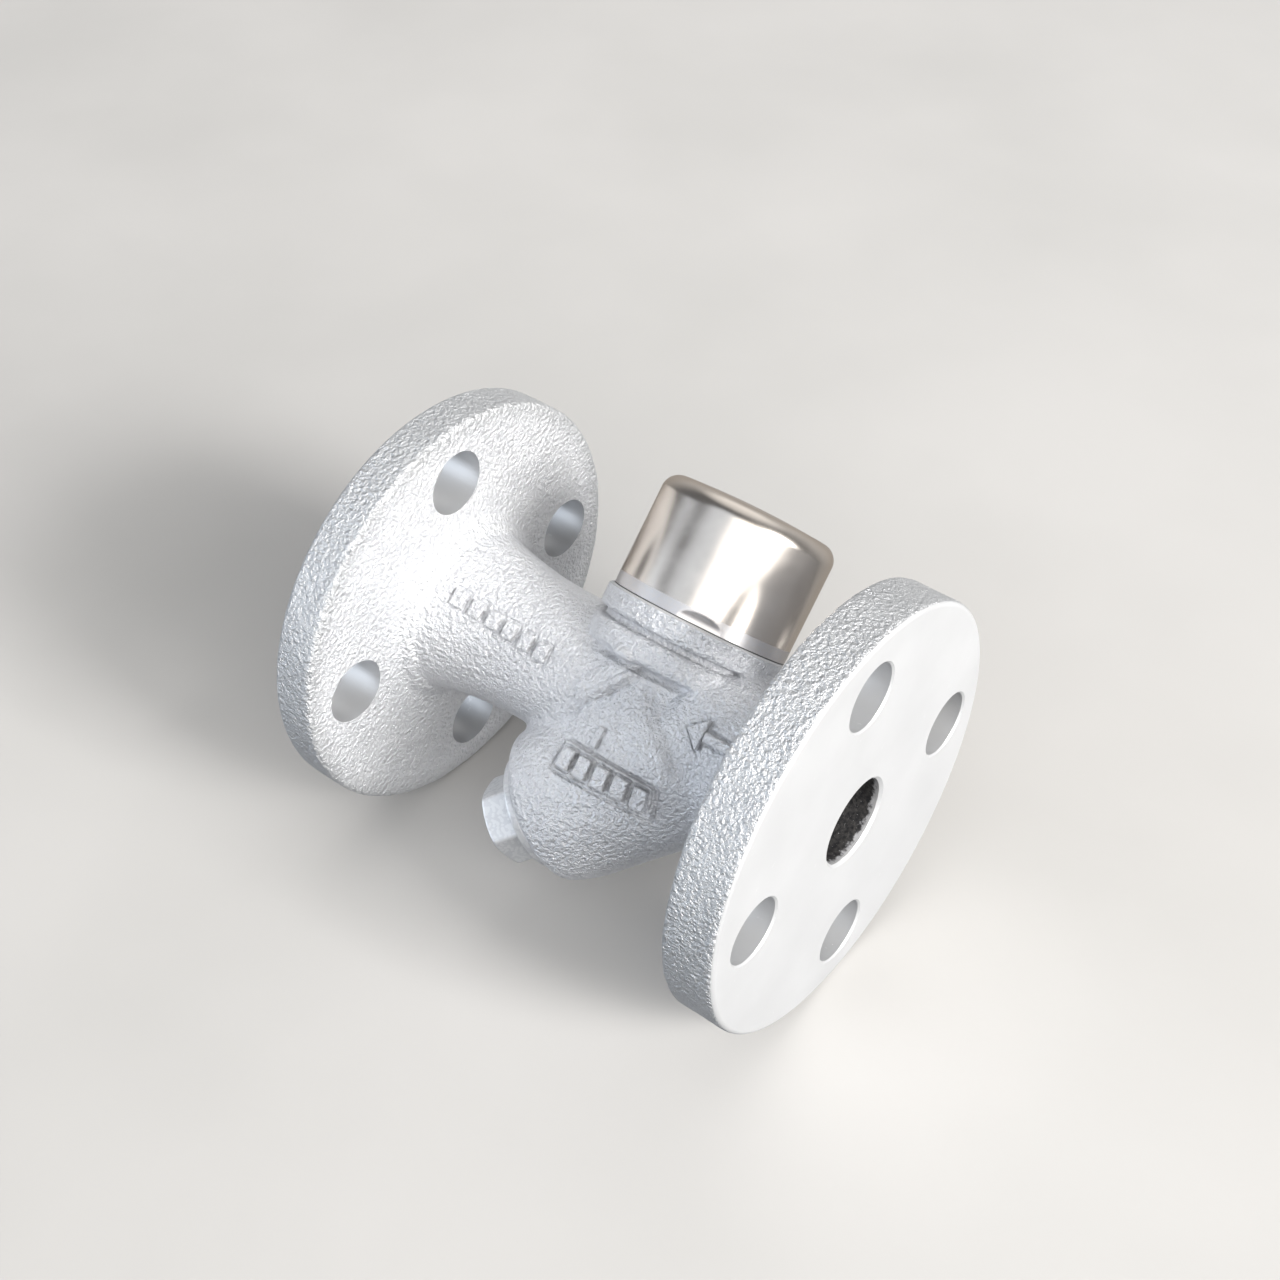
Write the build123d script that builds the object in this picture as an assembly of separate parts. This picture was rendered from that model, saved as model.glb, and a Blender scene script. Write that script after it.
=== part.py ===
"""Flanged disc steam trap with a built-in inclined strainer.

Millimetres. The origin is the centre of the inlet flange face. +X is the flow
direction, +Z is the axis of the cap, and the strainer leg runs down and forward.
"""
from build123d import *
from math import cos, radians, sin
import os

os.makedirs("parts", exist_ok=True)

# flanges and pipe line
face_to_face = 147.0
flange_r = 62.5
inlet_flange_t = 15.5
outlet_flange_t = 13.0
flange_edge = 1.5
bolt_circle_r = 45.0
bolt_hole_r = 9.5
bolt_count = 4
bolt_start_deg = 45.0
port_r = 12.5
port_chamfer = 0.8
neck_r = 20.3
inlet_neck_r = 22.6
inlet_neck_end = 50.0
inlet_taper_end = 57.0
hub_ring_r = 26.6
hub_ring_t = 2.6
hub_r = 24.5
outlet_hub_len = 20.0
inlet_hub_len = 10.5
inlet_depth = 36.0
outlet_depth = 44.0

# valve boss on the cap axis
cap_x = 64.7
boss_top = 27.0
collar_r = 26.8
collar_bottom = 20.0
neck_groove_r = 25.4
neck_groove_h = 1.2
band_r = 26.4
band_bottom = 11.0
boss_root_r = 24.0
boss_root = 4.0
seat_floor = 13.0
seat_pocket_r = 17.6
seat_pocket_top = 18.0
cap_bore_r = 18.6
bore_chamfer = 0.7
gallery_in_r = 5.8
gallery_out_r = 14.2
gallery_floor = 8.0
orifice_r = 3.6
orifice_low = -5.0
duct_r = 6.0
duct_start = (72.0, 6.0)
duct_end = (104.0, 0.0)

# strainer leg, measured along its own axis from the pipe axis
leg_x = 43.7
leg_deg = 45.0
leg_back = 12.0
leg_r = 23.4
leg_full = 48.5
leg_shoulder = 52.6
leg_shoulder_r = 21.8
leg_end = 54.6
leg_end_r = 18.2
throat_r = 10.2
throat_back = -6.0
ledge_r = 11.15
ledge_s = 7.0
chamber_r = 16.0
chamber_start = 10.0
chamber_end = 38.0
plug_bore_start = 40.7
plug_bore_r = 13.3

# valve seat and its two gaskets
gap = 0.05
seat_r = 17.4
gasket_t = 0.8
seat_hole_r = 3.2
land_in_r = 5.4
groove_out_r = 8.8
land_out_r = 11.4
groove_z = 18.2
land_z = 20.0
outlet_hole_r = 1.3
outlet_hole_at = 7.1
outlet_holes = 3
inner_gasket_r = 3.9
outer_gasket_r = 14.6

# bimetal ring and disc
ring_in_r = 11.8
ring_out_r = 13.2
ring_low = 18.1
ring_high = 19.7
ring_split = 2.5
disc_r = 12.6
disc_low = 20.05
disc_top = 23.0
disc_edge = 0.4
disc_dish_r = 4.0
disc_dish = 0.5

# inner cap and its gasket
room_r = 13.9
room_top = 25.9
skirt_low = 18.05
skirt_r = 17.0
cap_thread_low = 18.8
cap_thread_pitch = 1.5
cap_thread_turns = 5
cap_thread_r = 18.5
cap_thread_root = 17.6
cap_relief_r = 17.5
cap_flange_low = 27.8
cap_flange_top = 31.4
cap_flange_r = 24.1
cap_flange_edge = 0.5
cap_hex_flats = 36.0
cap_hex_top = 46.0
hex_bevel = 1.6
cap_gasket_in = 19.2
cap_gasket_out = 23.6
cap_gasket_low = 27.05
cap_gasket_high = 27.75

# outer cap
shell_r = 25.6
shell_t = 0.6
shell_low = 27.2
shell_straight = 56.0
shell_corner = 5.0
shell_corner_deg = 85.0
shell_top = 61.9
crimp_depth = 0.7
crimp_r = 3.0
crimp_z = 27.9
crimp_half = 8.0
crimp_first_deg = 115.0
crimp_count = 3

# screen, plug and plug gasket, along the leg axis
screen_out_r = 10.9
screen_in_r = 10.35
screen_start = 7.2
screen_end = 52.6
mesh_hole_r = 1.1
mesh_first = 13.0
mesh_step = 3.8
mesh_rows = 8
mesh_pairs = 7
plug_gasket_in = 13.6
plug_gasket_out = 15.9
plug_gasket_low = 54.65
plug_gasket_high = 55.35
plug_low = 42.5
plug_socket_r = 11.05
plug_socket_end = 53.0
plug_thread_low = 43.4
plug_thread_pitch = 1.814
plug_thread_turns = 6
plug_thread_r = 13.2
plug_thread_root = 12.3
plug_collar_low = 55.4
plug_collar_top = 57.8
plug_collar_r = 16.4
plug_collar_edge = 0.5
plug_hex_flats = 22.0
plug_hex_turn = 24.8
plug_hex_top = 68.0
overrun = 1.0
full_turn = 360.0


def about_x(points):
    """Solid of revolution about X from (x, radius) corners."""
    outline = Polyline(*points, close=True)
    return revolve(make_face(outline), Axis.X)


def about_z(points):
    """Solid of revolution about Z from (radius, z) corners."""
    outline = Plane.XZ * Polyline(*points, close=True)
    return revolve(make_face(outline), Axis.Z)


def ring_z(inner, outer, low, high):
    """Flat ring about Z."""
    return about_z([(inner, low), (outer, low), (outer, high), (inner, high)])


def rod_z(radius, low, high):
    """Plain round bar about Z."""
    return about_z([(0, low), (radius, low), (radius, high), (0, high)])


def on_cap(shape):
    """Move a shape from the Z axis to the cap axis."""
    return Pos(cap_x, 0, 0) * shape


def on_leg(shape):
    """Move a shape from the Z axis to the strainer leg axis."""
    slope = radians(leg_deg)
    away = (sin(slope), 0, -cos(slope))
    frame = Plane(origin=(leg_x, 0, 0), x_dir=(0, 1, 0), z_dir=away)
    return frame.location * shape


def thread_points(low, pitch, turns, crest, root):
    """Corners of a run of thread ridges, going up."""
    points = []
    for turn in range(turns):
        start = low + turn * pitch
        points.append((root, start))
        points.append((crest, start + pitch * 0.4))
        points.append((crest, start + pitch * 0.6))
    points.append((root, low + turns * pitch))
    return points


def hex_bar(flats, low, high):
    """Hexagonal bar about Z with its free end bevelled."""
    sketch = RegularPolygon(flats / 2, 6, major_radius=False)
    bar = Pos(0, 0, low) * extrude(sketch, high - low)
    corner = flats / 2 / cos(radians(30))
    inside = flats / 2 - 0.2
    cone = about_z(
        [
            (0, low - overrun),
            (corner + overrun, low - overrun),
            (corner + overrun, high - hex_bevel - overrun * 0.5),
            (inside, high),
            (0, high),
        ]
    )
    return bar & cone


def pipe_outline():
    """Outside of both flanges, hubs and neck as one turned shape."""
    far = face_to_face
    near_back = inlet_flange_t
    far_back = far - outlet_flange_t
    near_ring = near_back + hub_ring_t
    far_ring = far_back - hub_ring_t
    return [
        (0, 0),
        (0, flange_r - flange_edge),
        (flange_edge, flange_r),
        (near_back - flange_edge, flange_r),
        (near_back, flange_r - flange_edge),
        (near_back, hub_ring_r),
        (near_ring, hub_ring_r),
        (near_ring, hub_r),
        (near_back + inlet_hub_len, inlet_neck_r),
        (inlet_neck_end, inlet_neck_r),
        (inlet_taper_end, neck_r),
        (far_back - outlet_hub_len, neck_r),
        (far_ring, hub_r),
        (far_ring, hub_ring_r),
        (far_back, hub_ring_r),
        (far_back, flange_r - flange_edge),
        (far_back + flange_edge, flange_r),
        (far - flange_edge, flange_r),
        (far, flange_r - flange_edge),
        (far, 0),
    ]


def boss_outside():
    """Collar, groove and band under the cap."""
    groove_low = collar_bottom - neck_groove_h
    return on_cap(
        about_z(
            [
                (0, -boss_root),
                (boss_root_r - boss_root, -boss_root),
                (boss_root_r, boss_root),
                (band_r, band_bottom),
                (band_r, groove_low),
                (neck_groove_r, groove_low),
                (neck_groove_r, collar_bottom),
                (collar_r, collar_bottom),
                (collar_r, boss_top),
                (0, boss_top),
            ]
        )
    )


def leg_outside():
    """Round strainer leg with a rounded back and a rounded shoulder."""
    back = on_leg(Pos(0, 0, leg_back) * Sphere(leg_r))
    return back + on_leg(
        about_z(
            [
                (0, leg_back),
                (leg_r, leg_back),
                (leg_r, leg_full),
                ((leg_r + leg_shoulder_r) / 2 + 0.4, (leg_full + leg_shoulder) / 2),
                (leg_shoulder_r, leg_shoulder),
                (leg_end_r, leg_end),
                (0, leg_end),
            ]
        )
    )


def bolt_holes():
    """The bolt holes of both flanges."""
    holes = []
    for index in range(bolt_count):
        angle = radians(bolt_start_deg + index * full_turn / bolt_count)
        y = bolt_circle_r * cos(angle)
        z = bolt_circle_r * sin(angle)
        for start in (-overrun, face_to_face - inlet_flange_t - overrun):
            bar = rod_z(bolt_hole_r, 0, inlet_flange_t + 2 * overrun)
            holes.append(Pos(start, y, z) * Rot(0, 90, 0) * bar)
    return holes


def inlet_passage():
    """Inlet port, throat and strainer chamber."""
    port = about_x(
        [
            (-overrun, 0),
            (-overrun, port_r + port_chamfer),
            (0, port_r + port_chamfer),
            (port_chamfer, port_r),
            (inlet_depth, port_r),
            (inlet_depth, 0),
        ]
    )
    turn = Pos(inlet_depth, 0, 0) * Sphere(port_r)
    bore = on_leg(
        about_z(
            [
                (0, throat_back),
                (throat_r, throat_back),
                (throat_r, ledge_s),
                (ledge_r, ledge_s),
                (ledge_r, chamber_start),
                (chamber_r, chamber_start),
                (chamber_r, chamber_end),
                (plug_bore_r, plug_bore_start),
                (plug_bore_r, leg_end + overrun),
                (0, leg_end + overrun),
            ]
        )
    )
    return [port, turn, bore]


def outlet_passage():
    """Outlet port with the duct up to the ring gallery under the seat."""
    far = face_to_face
    port = about_x(
        [
            (far - outlet_depth, 0),
            (far - outlet_depth, port_r),
            (far - port_chamfer, port_r),
            (far, port_r + port_chamfer),
            (far + overrun, port_r + port_chamfer),
            (far + overrun, 0),
        ]
    )
    turn = Pos(far - outlet_depth, 0, 0) * Sphere(port_r)
    run = Vector(duct_end[0] - duct_start[0], 0, duct_end[1] - duct_start[1])
    frame = Plane(origin=(duct_start[0], 0, duct_start[1]), z_dir=run)
    duct = frame.location * rod_z(duct_r, 0, run.length)
    gallery = on_cap(ring_z(gallery_in_r, gallery_out_r, gallery_floor, seat_floor + gap))
    return [port, turn, duct, gallery]


def valve_pocket():
    """Bore for the inner cap, pocket for the seat, and the orifice below."""
    pocket = on_cap(
        about_z(
            [
                (0, seat_floor),
                (seat_pocket_r, seat_floor),
                (seat_pocket_r, seat_pocket_top),
                (cap_bore_r, seat_pocket_top),
                (cap_bore_r, boss_top - bore_chamfer),
                (cap_bore_r + bore_chamfer, boss_top),
                (cap_bore_r + bore_chamfer, boss_top + overrun),
                (0, boss_top + overrun),
            ]
        )
    )
    orifice = on_cap(rod_z(orifice_r, orifice_low, seat_floor + overrun))
    return [pocket, orifice]


def body_casting():
    """Cast body with both flanges."""
    solid = about_x(pipe_outline())
    solid = solid + boss_outside()
    solid = solid + leg_outside()
    for tool in bolt_holes() + inlet_passage() + outlet_passage() + valve_pocket():
        solid = solid - tool
    return solid


def seat_inner_gasket():
    """Small ring that seals the orifice."""
    low = seat_floor + gap
    return on_cap(ring_z(inner_gasket_r, land_in_r, low, low + gasket_t))


def seat_outer_gasket():
    """Large ring that seals the rim of the seat."""
    low = seat_floor + gap
    return on_cap(ring_z(outer_gasket_r, seat_r, low, low + gasket_t))


def valve_seat():
    """Seat with two lands, a groove between them and outlet holes in it."""
    low = seat_floor + 2 * gap + gasket_t
    seat = about_z(
        [
            (seat_hole_r, low),
            (seat_r, low),
            (seat_r, seat_pocket_top),
            (land_out_r, seat_pocket_top),
            (land_out_r, land_z),
            (groove_out_r, land_z),
            (groove_out_r, groove_z),
            (land_in_r, groove_z),
            (land_in_r, land_z),
            (seat_hole_r, land_z),
        ]
    )
    for index in range(outlet_holes):
        angle = radians(index * full_turn / outlet_holes)
        spot = (outlet_hole_at * cos(angle), outlet_hole_at * sin(angle), 0)
        seat = seat - Pos(*spot) * rod_z(outlet_hole_r, low - overrun, land_z)
    return on_cap(seat)


def bimetal_ring():
    """Split ring that lifts the disc when it is cold."""
    ring = ring_z(ring_in_r, ring_out_r, ring_low, ring_high)
    slot = Pos(-ring_out_r, 0, ring_low) * Box(ring_out_r, ring_split, 2 * ring_high)
    return on_cap(ring - slot)


def valve_disc():
    """Flat disc with a shallow dish on top."""
    return on_cap(
        about_z(
            [
                (0, disc_low),
                (disc_r - disc_edge, disc_low),
                (disc_r, disc_low + disc_edge),
                (disc_r, disc_top - disc_edge),
                (disc_r - disc_edge, disc_top),
                (disc_dish_r, disc_top),
                (disc_dish_r - disc_dish, disc_top - disc_dish),
                (0, disc_top - disc_dish),
            ]
        )
    )


def inner_cap_gasket():
    """Ring under the flange of the inner cap."""
    return on_cap(ring_z(cap_gasket_in, cap_gasket_out, cap_gasket_low, cap_gasket_high))


def inner_cap():
    """Screwed cap that closes the disc chamber, with a hexagon on top."""
    thread = thread_points(
        cap_thread_low, cap_thread_pitch, cap_thread_turns, cap_thread_r, cap_thread_root
    )
    outline = [(0, room_top), (room_r, room_top), (room_r, skirt_low)]
    outline.append((skirt_r, skirt_low))
    outline.extend(thread)
    outline.append((cap_relief_r, cap_flange_low - overrun))
    outline.append((cap_relief_r, cap_flange_low))
    outline.append((cap_flange_r - cap_flange_edge, cap_flange_low))
    outline.append((cap_flange_r, cap_flange_low + cap_flange_edge))
    outline.append((cap_flange_r, cap_flange_top - cap_flange_edge))
    outline.append((cap_flange_r - cap_flange_edge, cap_flange_top))
    outline.append((0, cap_flange_top))
    nut = hex_bar(cap_hex_flats, cap_flange_top - gap, cap_hex_top)
    return on_cap(about_z(outline) + nut)


def shell_half(radius, low, top, straight, corner):
    """Solid cup shape: straight wall, round corner and a shallow dome."""
    turn = radians(shell_corner_deg)
    centre = radius - corner
    mid = (centre + corner * cos(turn / 2), straight + corner * sin(turn / 2))
    end = (centre + corner * cos(turn), straight + corner * sin(turn))
    slope = (-sin(turn), cos(turn))
    edges = Line((0, low), (radius, low))
    edges = edges + Line((radius, low), (radius, straight))
    edges = edges + ThreePointArc((radius, straight), mid, end)
    edges = edges + Spline(end, (0, top), tangents=(slope, (-1, 0)))
    edges = edges + Line((0, top), (0, low))
    return revolve(make_face(Plane.XZ * edges), Axis.Z)


def crimp_bar(angle, radius):
    """Short bar lying along the wall at one crimp."""
    bar = rod_z(radius, -crimp_half, crimp_half)
    at = shell_r - crimp_depth + crimp_r
    return Rot(0, 0, angle) * Pos(at, 0, crimp_z) * Rot(90, 0, 0) * bar


def outer_cap():
    """Drawn metal cap, crimped inward at three places on its edge."""
    hollow = shell_half(
        shell_r - shell_t,
        shell_low - overrun,
        shell_top - shell_t,
        shell_straight,
        shell_corner - shell_t,
    )
    outside = shell_half(shell_r, shell_low, shell_top, shell_straight, shell_corner)
    shell = outside - hollow
    room = rod_z(shell_r - shell_t + gap, shell_low, shell_straight)
    for index in range(crimp_count):
        angle = crimp_first_deg + index * full_turn / crimp_count
        shell = shell + (crimp_bar(angle, crimp_r + shell_t) & room)
        shell = shell - crimp_bar(angle, crimp_r)
    return on_cap(shell)


def strainer_screen():
    """Perforated tube, open at both ends."""
    tube = ring_z(screen_in_r, screen_out_r, screen_start, screen_end)
    pins = []
    for row in range(mesh_rows):
        for index in range(mesh_pairs):
            angle = (index + 0.5 * (row % 2)) * full_turn / 2 / mesh_pairs
            pin = rod_z(mesh_hole_r, -screen_out_r - overrun, screen_out_r + overrun)
            height = mesh_first + row * mesh_step
            pins.append(Pos(0, 0, height) * Rot(0, 0, angle) * Rot(0, 90, 0) * pin)
    return on_leg(tube - pins)


def plug_gasket():
    """Ring between the leg and the collar of the plug."""
    return on_leg(
        ring_z(plug_gasket_in, plug_gasket_out, plug_gasket_low, plug_gasket_high)
    )


def strainer_plug():
    """Screwed plug with a round collar, a hexagon and a socket for the screen."""
    thread = thread_points(
        plug_thread_low, plug_thread_pitch, plug_thread_turns, plug_thread_r, plug_thread_root
    )
    outline = [(0, plug_socket_end), (plug_socket_r, plug_socket_end)]
    outline.append((plug_socket_r, plug_low))
    outline.append((plug_thread_root, plug_low))
    outline.extend(thread)
    outline.append((plug_thread_root, plug_collar_low))
    outline.append((plug_collar_r - plug_collar_edge, plug_collar_low))
    outline.append((plug_collar_r, plug_collar_low + plug_collar_edge))
    outline.append((plug_collar_r, plug_collar_top - plug_collar_edge))
    outline.append((plug_collar_r - plug_collar_edge, plug_collar_top))
    outline.append((0, plug_collar_top))
    nut = hex_bar(plug_hex_flats, plug_collar_top - gap, plug_hex_top)
    return on_leg(about_z(outline) + Rot(0, 0, plug_hex_turn) * nut)


makers = {
    "body_casting": body_casting,
    "seat_inner_gasket": seat_inner_gasket,
    "seat_outer_gasket": seat_outer_gasket,
    "valve_seat": valve_seat,
    "bimetal_ring": bimetal_ring,
    "valve_disc": valve_disc,
    "inner_cap_gasket": inner_cap_gasket,
    "inner_cap": inner_cap,
    "outer_cap": outer_cap,
    "strainer_screen": strainer_screen,
    "plug_gasket": plug_gasket,
    "strainer_plug": strainer_plug,
}

for name, make in makers.items():
    export_step(make(), "parts/" + name + ".step")
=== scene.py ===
import math

import bmesh
import bpy
import numpy as np
from mathutils import Matrix, Vector


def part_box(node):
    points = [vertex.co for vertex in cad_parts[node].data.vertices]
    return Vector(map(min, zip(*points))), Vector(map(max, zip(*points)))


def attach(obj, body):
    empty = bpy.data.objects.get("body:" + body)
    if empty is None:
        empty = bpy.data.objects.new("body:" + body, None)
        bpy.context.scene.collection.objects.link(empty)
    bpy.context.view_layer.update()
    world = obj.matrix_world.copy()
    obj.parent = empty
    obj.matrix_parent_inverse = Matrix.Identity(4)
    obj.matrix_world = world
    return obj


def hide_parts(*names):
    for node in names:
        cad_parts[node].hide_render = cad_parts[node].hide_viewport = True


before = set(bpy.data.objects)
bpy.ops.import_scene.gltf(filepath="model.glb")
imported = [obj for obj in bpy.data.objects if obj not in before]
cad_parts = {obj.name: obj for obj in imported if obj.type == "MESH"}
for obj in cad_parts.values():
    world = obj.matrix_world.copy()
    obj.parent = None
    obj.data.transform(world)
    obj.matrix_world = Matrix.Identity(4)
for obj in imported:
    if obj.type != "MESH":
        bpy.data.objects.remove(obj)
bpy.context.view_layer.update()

MM = 0.001
R2 = math.sqrt(0.5)

# Sizes in millimetres, the same as in the CAD part.
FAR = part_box("body_casting")[1].x * 1000
FLANGE_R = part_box("body_casting")[1].z * 1000
IN_BACK = 15.5
OUT_BACK = FAR - 13.0
EDGE = 1.6
PORT_R = 12.5
BOLT_RING_R = 45.0
BOLT_R = 9.5
BOLT_TURNS = [math.radians(45 + 90 * n) for n in range(4)]
NECK_R = 20.3
HUB_SLOPE = 0.24
HUB_LENGTH = 20
HUB_END = 32
RING_R = 26.6
RING_HALF = 4.6
CAP_X = 64.7
BOSS_TOP = 27.0
LEG_X = 43.7
LEG_R = 23.4
LEG_END = 54.6
SHOULDER_START = 48.5
CHAMFER_START = 52.6
CHAMFER_R = 21.8

# Sizes in millimetres that only the casting's visible skin has.
GRID = 0.6
INLET_NECK_R = 23.2
ROOT_R = 22.0
GROOVE_R = 24.2
BAND_R = 26.5
BAND_Z = 14.9
COLLAR_R = 26.8
COLLAR_Z = 24.7
UNDERCUT_Z = 10.0

# Tops of the plug's hexagon along the leg, and of the inner cap's along Z.
PLUG_TOP = 67.95
INNER_TOP = 45.95

# Relief on the casting, as (x, z) in millimetres.
SEAM = ((63.0, 10.4), (68.1, 3.9), (76.1, -4.6), (80.0, -9.2), (86.0, -14.5))
SEAM_GROOVE = [(x - 1.9, z + 0.3) for x, z in SEAM]
SWELL = ((68.5, 9.5), (71.0, 5.4), (75.5, -1.5))
CREST = (59.2, 1.9)
PIP = (79.5, -4.4)
NECK_TILES_X = [93.4 + 5.9 * n for n in range(6)]
NECK_TILES = [(x, 1.3 + 0.075 * (x - 93.4)) for x in NECK_TILES_X]
LEG_TILES = [47.6 + 5.8 * n for n in range(5)]
TILE_ROW_Z = -19.7
TRAY_X = 59.2
TAB = (65.9, -10.8)
ARROW_TIP_X = 44.6
ARROW_BACK_X = 38.6
ARROW_SHAFT_X = 31.0
ARROW_Z = 3.0


# ---------------------------------------------------------------- fields
def smooth_union(a, b, k):
    """Union of two fields, blended over k."""
    h = np.maximum(k - np.abs(a - b), 0) / k
    return np.minimum(a, b) - h * h * k * 0.25


def fillet(a, b, r):
    """Union with a round inside corner of radius r."""
    return np.maximum(r, np.minimum(a, b)) - np.sqrt(
        np.maximum(r - a, 0) ** 2 + np.maximum(r - b, 0) ** 2
    )


def cut(a, b, r):
    """a without b, with the edge rounded to radius r."""
    return -fillet(-a, b, r)


def round_box(u, v, hu, hv, r):
    """Distance to a rectangle of half sizes hu, hv with corners of radius r."""
    qu = np.abs(u) - hu + r
    qv = np.abs(v) - hv + r
    inside = np.minimum(np.maximum(qu, qv), 0)
    return inside + np.sqrt(np.maximum(qu, 0) ** 2 + np.maximum(qv, 0) ** 2) - r


def segment(x, z, ax, az, bx, bz):
    """Distance in the XZ plane to a segment."""
    dx, dz = bx - ax, bz - az
    t = np.clip(((x - ax) * dx + (z - az) * dz) / (dx * dx + dz * dz), 0, 1)
    return np.sqrt((x - ax - t * dx) ** 2 + (z - az - t * dz) ** 2)


def leg_coords(x, y, z):
    """Distance along the leg, distance from its axis, and height across it."""
    u = (x - LEG_X) * R2
    w = z * R2
    s = u - w
    t = u + w
    return s, np.sqrt(y * y + t * t), t


def surface_net(field, origin, step):
    """Quad mesh of a field's zero level."""
    nx, ny, nz = field.shape
    inside = field < 0
    total = np.zeros((nx - 1, ny - 1, nz - 1), np.uint8)
    for a in (0, 1):
        for b in (0, 1):
            for c in (0, 1):
                total += inside[a : nx - 1 + a, b : ny - 1 + b, c : nz - 1 + c]
    i, j, k = np.nonzero((total > 0) & (total < 8))
    count = len(i)
    index = np.full(total.shape, -1, np.int32)
    index[i, j, k] = np.arange(count, dtype=np.int32)
    corner = {}
    for a in (0, 1):
        for b in (0, 1):
            for c in (0, 1):
                corner[a, b, c] = field[i + a, j + b, k + c].astype(np.float64)
    place = np.zeros((count, 3))
    hits = np.zeros(count)
    for axis in range(3):
        o = [n for n in range(3) if n != axis]
        for p in (0, 1):
            for q in (0, 1):
                c0 = [0, 0, 0]
                c0[o[0]] = p
                c0[o[1]] = q
                c1 = list(c0)
                c1[axis] = 1
                f0 = corner[tuple(c0)]
                f1 = corner[tuple(c1)]
                m = (f0 < 0) != (f1 < 0)
                place[:, axis] += np.where(m, f0 / np.where(m, f0 - f1, 1), 0)
                place[:, o[0]] += np.where(m, p, 0)
                place[:, o[1]] += np.where(m, q, 0)
                hits += m
    points = (place / hits[:, None] + np.stack([i, j, k], 1)) * step + np.array(origin)
    quads = []
    for axis in range(3):
        o = [(axis + 1) % 3, (axis + 2) % 3]
        lo = [slice(1, -1)] * 3
        hi = [slice(1, -1)] * 3
        lo[axis] = slice(0, -1)
        hi[axis] = slice(1, None)
        a = inside[tuple(lo)]
        e = np.nonzero(a != inside[tuple(hi)])
        base = [e[0], e[1], e[2]]
        for n in o:
            base[n] = base[n] + 1

        def cell(da, db):
            c = list(base)
            c[o[0]] = c[o[0]] - da
            c[o[1]] = c[o[1]] - db
            return index[tuple(c)]

        q = np.stack([cell(1, 1), cell(0, 1), cell(0, 0), cell(1, 0)], 1)
        flip = ~a[e]
        q[flip] = q[flip][:, ::-1]
        quads.append(q)
    return points, np.concatenate(quads)


def grid_axes(low, high, step):
    low = np.array(low, float)
    n = np.ceil((np.array(high) - low) / step).astype(int) + 1
    a = [(low[i] + step * np.arange(n[i])).astype(np.float32) for i in range(3)]
    return a[0][:, None, None], a[1][None, :, None], a[2][None, None, :], low


def noise(p, size, seed):
    """Smooth gradient noise, about -1 to 1."""
    table = np.random.RandomState(seed).normal(size=(4096, 3))
    table /= np.linalg.norm(table, axis=1)[:, None]
    q = p / size + 200.0
    i = np.floor(q).astype(np.int64)
    f = q - i
    u = f * f * f * (f * (f * 6 - 15) + 10)
    out = np.zeros(len(p))
    for dx in (0, 1):
        for dy in (0, 1):
            for dz in (0, 1):
                h = (
                    ((i[:, 0] + dx) * 73856093)
                    ^ ((i[:, 1] + dy) * 19349663)
                    ^ ((i[:, 2] + dz) * 83492791)
                ) % 4096
                d = f - np.array([dx, dy, dz])
                w = (
                    (u[:, 0] if dx else 1 - u[:, 0])
                    * (u[:, 1] if dy else 1 - u[:, 1])
                    * (u[:, 2] if dz else 1 - u[:, 2])
                )
                out += w * (table[h] * d).sum(1)
    return out * 1.6


# ---------------------------------------------------------------- meshes
def mesh_from(name, points, quads):
    """Mesh object from millimetre points and a quad array."""
    me = bpy.data.meshes.new(name)
    me.vertices.add(len(points))
    me.vertices.foreach_set("co", (points * MM).astype(np.float32).ravel())
    me.loops.add(quads.size)
    me.loops.foreach_set("vertex_index", quads.astype(np.int32).ravel())
    me.polygons.add(len(quads))
    me.polygons.foreach_set(
        "loop_start", np.arange(len(quads), dtype=np.int32) * quads.shape[1]
    )
    me.update(calc_edges=True)
    return add_object(name, me)


def add_object(name, me):
    ob = bpy.data.objects.new(name, me)
    bpy.context.scene.collection.objects.link(ob)
    return ob


def points_of(me):
    co = np.zeros(len(me.vertices) * 3, np.float32)
    me.vertices.foreach_get("co", co)
    return co.reshape(-1, 3).astype(np.float64) * 1000


def set_points(me, p):
    me.vertices.foreach_set("co", (p * MM).astype(np.float32).ravel())
    me.update()


def normals_of(me):
    n = np.zeros(len(me.vertices) * 3, np.float32)
    me.vertex_normals.foreach_get("vector", n)
    return n.reshape(-1, 3).astype(np.float64)


def face_data(me):
    """Centres in millimetres and normals of all faces."""
    c = np.zeros(len(me.polygons) * 3, np.float32)
    n = np.zeros(len(me.polygons) * 3, np.float32)
    me.polygons.foreach_get("center", c)
    me.polygons.foreach_get("normal", n)
    return c.reshape(-1, 3) * 1000, n.reshape(-1, 3)


def smooth_shade(ob, degrees=32):
    me = ob.data
    me.polygons.foreach_set("use_smooth", np.ones(len(me.polygons), bool))
    me.set_sharp_from_angle(angle=math.radians(degrees))


def lathe_data(profile, segments=96):
    """Points and faces of a closed profile of (along, radius) turned about Z."""
    points, faces, rings = [], [], []
    for along, radius in profile:
        start = len(points)
        if radius < 1e-9:
            points.append((0, 0, along))
            rings.append([start])
            continue
        for n in range(segments):
            a = 2 * math.pi * n / segments
            points.append((radius * math.cos(a), radius * math.sin(a), along))
        rings.append(list(range(start, start + segments)))
    for a, b in zip(rings, rings[1:]):
        if len(a) == 1 and len(b) == 1:
            continue
        for n in range(segments):
            m = (n + 1) % segments
            if len(a) == 1:
                faces.append((a[0], b[m], b[n]))
            elif len(b) == 1:
                faces.append((a[n], a[m], b[0]))
            else:
                faces.append((a[n], a[m], b[m], b[n]))
    return points, faces


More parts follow.
